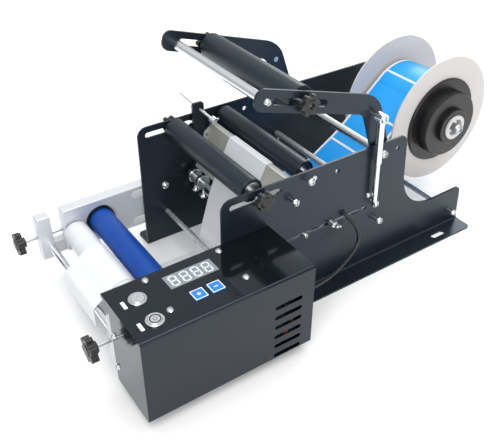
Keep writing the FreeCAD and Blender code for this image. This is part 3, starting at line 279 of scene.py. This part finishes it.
roll_stock = label_stock("labels_on_roll", around_roll)
web_stock = label_stock("labels_on_web", down_web, LIFT_X)

FINISH = {
    paint: ("near_side_plate", "far_side_plate", "edge_tab", "swing_arms"),
    alloy: ("far_roller_arm", "near_roller_arm", "adjust_blocks"),
    ground: ("adjust_rod", "swing_cross_bar", "near_strut_rod", "far_strut_rod",
             "near_strut_tube", "far_strut_tube"),
    drawn: ("tie_rods", "guide_rods", "slanted_guide_wire"),
    steel: ("drive_bearings", "drive_roller_core", "front_idler_shaft", "fixed_shafts",
            "press_roller_shaft", "reel_shaft", "start_button", "power_button", "button_bezels"),
    sheet_steel: ("guide_deck",),
    zinc: ("frame_screws", "inner_edge_collar", "outer_edge_collar", "swing_arm_screws", "box_screws",
           "drive_motor", "sensor_bracket", "sensor_wing_nut"),
    blue: ("drive_roller_sleeve",),
    black_rubber: ("front_idler_roller", "rear_idler_roller", "press_roller", "cable_grommet"),
    white: ("pinch_roller",),
    disc: ("near_reel_disc", "reel_spool"),
    knob: ("far_adjust_knob", "near_adjust_knob", "near_idler_knob", "far_idler_knob",
           "near_press_knob", "far_press_knob", "near_reel_clamp", "sensor_fork"),
    gloss: ("box_housing", "box_top_panel"),
    window_grey: ("display_module",),
    liner: ("liner_tail",),
    key: ("plus_key", "minus_key"),
    cable: ("sensor_cable",),
    board: ("control_board",),
    roll_stock: ("label_roll",),
    web_stock: ("label_web",),
}
for material, names in FINISH.items():
    for name in names:
        mesh = nodes[name].data
        mesh.materials.clear()
        mesh.materials.append(material)


ROLLER_AXES = {
    "front_idler_roller": (-0.1725, 0.187, 0.0162),
    "rear_idler_roller": (-0.088, 0.185, 0.0148),
    "press_roller": (-0.1055, 0.2947, 0.0181),
}
COVER = 0.0044


def steel_inside(name, axis_x, axis_z, radius):
    """Gives the bearing and hub inside a roller's rubber cover their own steel."""
    mesh = nodes[name].data
    mesh.materials.append(steel)
    for face in mesh.polygons:
        reach = max(math.hypot(mesh.vertices[v].co.x - axis_x, mesh.vertices[v].co.z - axis_z)
                    for v in face.vertices)
        if reach < radius - COVER + 0.0002:
            face.material_index = 1


for name, (axis_x, axis_z, radius) in ROLLER_AXES.items():
    steel_inside(name, axis_x, axis_z, radius)

SCREW_RADIUS, SCREW_Y, SCREW_Z = 0.0022, 0.119, 0.074
for name, side in (("near_adjust_knob", -1), ("far_adjust_knob", 1)):
    mesh = nodes[name].data
    mesh.materials.append(steel)
    for face in mesh.polygons:
        if max(math.hypot(mesh.vertices[v].co.y - side * SCREW_Y, mesh.vertices[v].co.z - SCREW_Z)
               for v in face.vertices) < SCREW_RADIUS + 0.0001:
            face.material_index = 1


# --- printed and moulded details on the control box -----------------------------------
PANEL_TOP = 0.1402
DISPLAY_X, DISPLAY_Y = -0.2892, -0.1365
KEY_MARKS = (("plus_key", -0.2997, -0.1727), ("minus_key", -0.2771, -0.1724))
BUTTON_X, POWER_Y = -0.3605, -0.1826
MARK_X, MARKS_Y = -0.3778, (-0.1428, -0.183)
MARK_SIZE = (0.0042, 0.0125)
DIGIT_COUNT, DIGIT_PITCH = 4, 0.0148
WINDOW_SINK = 0.0002
KEY_PROUD = 0.001
# painted shade: place and radii of the thin black ring drawn round the drive roller's seat
SEAT_X, SEAT_Y, SEAT_Z = -0.2975, 0.1098, 0.074
SEAT_SHADE_RING = (0.0187, 0.0212)
RED_WIRE_RADIUS, RED_WIRE_SIDES = 0.0013, 10
RED_WIRE_ROUTE = (
    (-0.224, -0.196, 0.033),
    (-0.211, -0.2022, 0.0375),
    (-0.2, -0.2022, 0.0425),
    (-0.192, -0.2, 0.05),
    (-0.187, -0.2022, 0.057),
    (-0.184, -0.196, 0.07),
)
CAP_TOP = PANEL_TOP + 0.003


def slab(shape, x, y, z, width, depth, height=0.00012):
    """Adds a thin box, centred on x and y, that stands on z."""
    place = Matrix.Translation((x, y, z + height / 2)) @ Matrix.Diagonal((width, depth, height, 1.0))
    bmesh.ops.create_cube(shape, size=1.0, matrix=place)


def flat_ring(shape, x, y, z, inner, outer, start=0.0, end=2 * math.pi, height=0.00012, steps=40):
    """Adds a thin closed ring, or a part of one, that stands on z."""
    whole = end - start > 2 * math.pi - 0.001
    rows = []
    for i in range(steps if whole else steps + 1):
        a = start + (end - start) * i / steps
        c, s = math.cos(a), math.sin(a)
        rows.append([shape.verts.new((x + r * c, y + r * s, z + h))
                     for r, h in ((inner, 0.0), (outer, 0.0), (outer, height), (inner, height))])
    last = len(rows) if whole else len(rows) - 1
    for i in range(last):
        here, there = rows[i], rows[(i + 1) % len(rows)]
        for k in range(4):
            shape.faces.new((here[k], there[k], there[(k + 1) % 4], here[(k + 1) % 4]))
    if not whole:
        shape.faces.new(rows[0])
        shape.faces.new(rows[-1][::-1])


def finish_piece(shape, name, material, body):
    bmesh.ops.recalc_face_normals(shape, faces=shape.faces)
    mesh = bpy.data.meshes.new(name)
    shape.to_mesh(mesh)
    shape.free()
    mesh.materials.append(material)
    piece = bpy.data.objects.new(name, mesh)
    scene.collection.objects.link(piece)
    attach(piece, body)
    return piece


def add_digits():
    """Four seven-segment digits, every segment lit."""
    shape = bmesh.new()
    bar, reach_x, reach_y = 0.0021, 0.0042, 0.0042
    top = PANEL_TOP - WINDOW_SINK
    for digit in range(DIGIT_COUNT):
        x = DISPLAY_X + (digit - (DIGIT_COUNT - 1) / 2) * DIGIT_PITCH
        for level in (-1, 0, 1):
            slab(shape, x, DISPLAY_Y + level * 2 * reach_y, top, 2 * reach_x - bar, bar)
            for side in (-1, 1):
                if level:
                    slab(shape, x + side * reach_x, DISPLAY_Y + level * reach_y, top,
                         bar, 2 * reach_y - bar * 0.6)
    finish_piece(shape, "display_digits", segment_white, "frame")


def add_key_marks():
    for name, x, y in KEY_MARKS:
        shape = bmesh.new()
        top = PANEL_TOP + KEY_PROUD
        half, line = 0.0076, 0.0009
        for side in (-1, 1):
            slab(shape, x, y + side * half, top, 2 * half + line, line)
            slab(shape, x + side * half, y, top, line, 2 * half - line)
        slab(shape, x, y, top, 0.0056, 0.0011)
        if name == "plus_key":
            for side in (-1, 1):
                slab(shape, x, y + side * 0.0017, top, 0.0011, 0.0022)
        finish_piece(shape, name + "_mark", print_white, name)


def add_button_marks():
    shape = bmesh.new()
    middle = BUTTON_X + 0.0004
    flat_ring(shape, middle, POWER_Y, CAP_TOP, 0.0053, 0.0068)
    flat_ring(shape, middle, POWER_Y, CAP_TOP, 0.0019, 0.0026, math.radians(120), math.radians(420))
    slab(shape, middle, POWER_Y + 0.0022, CAP_TOP, 0.0007, 0.0026)
    finish_piece(shape, "power_mark", dark_print_and_shade, "power_button")
    shape = bmesh.new()
    for y in MARKS_Y:
        slab(shape, MARK_X, y, PANEL_TOP, *MARK_SIZE)
    finish_piece(shape, "panel_marks", print_white, "frame")


def add_red_wire():
    """A red lead behind the vent slots, between the board and the motor."""
    route = [Vector(p) for p in RED_WIRE_ROUTE]
    shape = bmesh.new()
    sides, radius = RED_WIRE_SIDES, RED_WIRE_RADIUS
    rings = []
    for i, point in enumerate(route):
        run = (route[min(i + 1, len(route) - 1)] - route[max(i - 1, 0)]).normalized()
        across = run.cross(Vector((0, 1, 0))).normalized()
        third = run.cross(across)
        rings.append([shape.verts.new(point + radius * (
            math.cos(2 * math.pi * k / sides) * across + math.sin(2 * math.pi * k / sides) * third))
            for k in range(sides)])
    for a, b in zip(rings, rings[1:]):
        for k in range(sides):
            shape.faces.new((a[k], a[(k + 1) % sides], b[(k + 1) % sides], b[k]))
    shape.faces.new(rings[0])
    shape.faces.new(rings[-1][::-1])
    finish_piece(shape, "red_wire", red_wire, "frame")


def add_seat_shade_ring():
    """Painted shade: a thin flat black ring standing in for the shaded groove round the drive roller's end,
    where it enters its seat in the far arm.
    """
    shape = bmesh.new()
    flat_ring(shape, 0.0, 0.0, 0.0, *SEAT_SHADE_RING, height=0.0004, steps=64)
    across = Matrix.Rotation(math.radians(90), 4, "X")
    seat = Matrix.Translation((SEAT_X, SEAT_Y, SEAT_Z)) @ across
    bmesh.ops.transform(shape, matrix=seat, verts=shape.verts)
    finish_piece(shape, "roller_seat_shade_ring", dark_print_and_shade, "frame")


add_digits()
add_seat_shade_ring()
add_key_marks()
add_button_marks()
add_red_wire()


# --- sensor cable ---------------------------------------------------------------------
CABLE_ROUTE_MM = [
    (-32.5, -103.0, 110.0),
    (-32.5, -121.0, 110.0),
    (-16.5, -129.0, 84.0),
    (-20.5, -134.0, 62.0),
    (-44.5, -141.0, 53.0),
    (-79.5, -152.0, 49.0),
    (-119.5, -160.0, 52.0),
    (-165.5, -165.0, 57.0),
]


def add_cable():
    curve = bpy.data.curves.new("sensor_lead", "CURVE")
    curve.dimensions = "3D"
    curve.resolution_u = 16
    curve.bevel_depth = 0.0024
    curve.bevel_resolution = 6
    spline = curve.splines.new("NURBS")
    spline.points.add(len(CABLE_ROUTE_MM) - 1)
    for point, (x, y, z) in zip(spline.points, CABLE_ROUTE_MM):
        point.co = (x / 1000, y / 1000, z / 1000, 1.0)
    spline.order_u = 3
    spline.use_endpoint_u = True
    lead = bpy.data.objects.new("sensor_lead", curve)
    lead.data.materials.append(cable)
    scene.collection.objects.link(lead)
    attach(lead, "frame")
    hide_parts("sensor_cable")


add_camera()
add_cable()


# --- studio -----------------------------------------------------------------------------
def add_world():
    world = bpy.data.worlds.new("studio")
    world.use_nodes = True
    tree = world.node_tree
    tree.nodes.clear()
    rays = add(tree, "ShaderNodeLightPath")
    seen = compute(tree, "MAXIMUM", rays.outputs["Is Camera Ray"], rays.outputs["Is Transmission Ray"])
    up = add(tree, "ShaderNodeSeparateXYZ", {0: add(tree, "ShaderNodeTexCoord").outputs["Generated"]})
    climb = add(tree, "ShaderNodeMapRange", {
        "Value": up.outputs["Z"], "From Min": -0.1, "From Max": 0.9, "To Min": 0.35, "To Max": 1.0})
    soft = add(tree, "ShaderNodeBackground", {"Color": (1, 1, 1, 1), "Strength": climb.outputs[0]})
    white_card = add(tree, "ShaderNodeBackground", {"Color": (1, 1, 1, 1), "Strength": 1.0})
    mix = add(tree, "ShaderNodeMixShader", {0: seen, 1: soft.outputs[0], 2: white_card.outputs[0]})
    add(tree, "ShaderNodeOutputWorld", {"Surface": mix.outputs[0]})
    scene.world = world


FLOOR_HALF = 12.0


def add_floor():
    mesh = bpy.data.meshes.new("floor")
    shape = bmesh.new()
    bmesh.ops.create_grid(shape, x_segments=1, y_segments=1, size=FLOOR_HALF)
    shape.to_mesh(mesh)
    shape.free()
    floor = bpy.data.objects.new("floor", mesh)
    material, tree, shader = new_material("pale_floor")
    tone = spread(tree, noise(tree, object_space(tree), 300.0), 0.86, 0.9)
    put(tree, shader, Base_Color=add(tree, "ShaderNodeCombineColor", {0: tone, 1: tone, 2: tone}).outputs[0],
        Roughness=0.6)
    mesh.materials.append(material)
    scene.collection.objects.link(floor)


add_world()
add_floor()
area_light("key", (-0.9, -1.0, 1.5), (0.0, 0.0, 0.1), (1.2, 1.2), 18.0)
area_light("top", (0.2, 0.2, 1.9), (0.0, 0.0, 0.0), (1.6, 1.2), 15.0)
area_light("front_strip", (-0.3, -1.7, 0.55), (-0.1, -0.2, 0.1), (1.8, 0.25), 7.0)
area_light("rim", (1.2, 0.9, 1.0), (0.1, 0.0, 0.15), (0.8, 0.8), 10.0)
scene.view_settings.view_transform = "Standard"
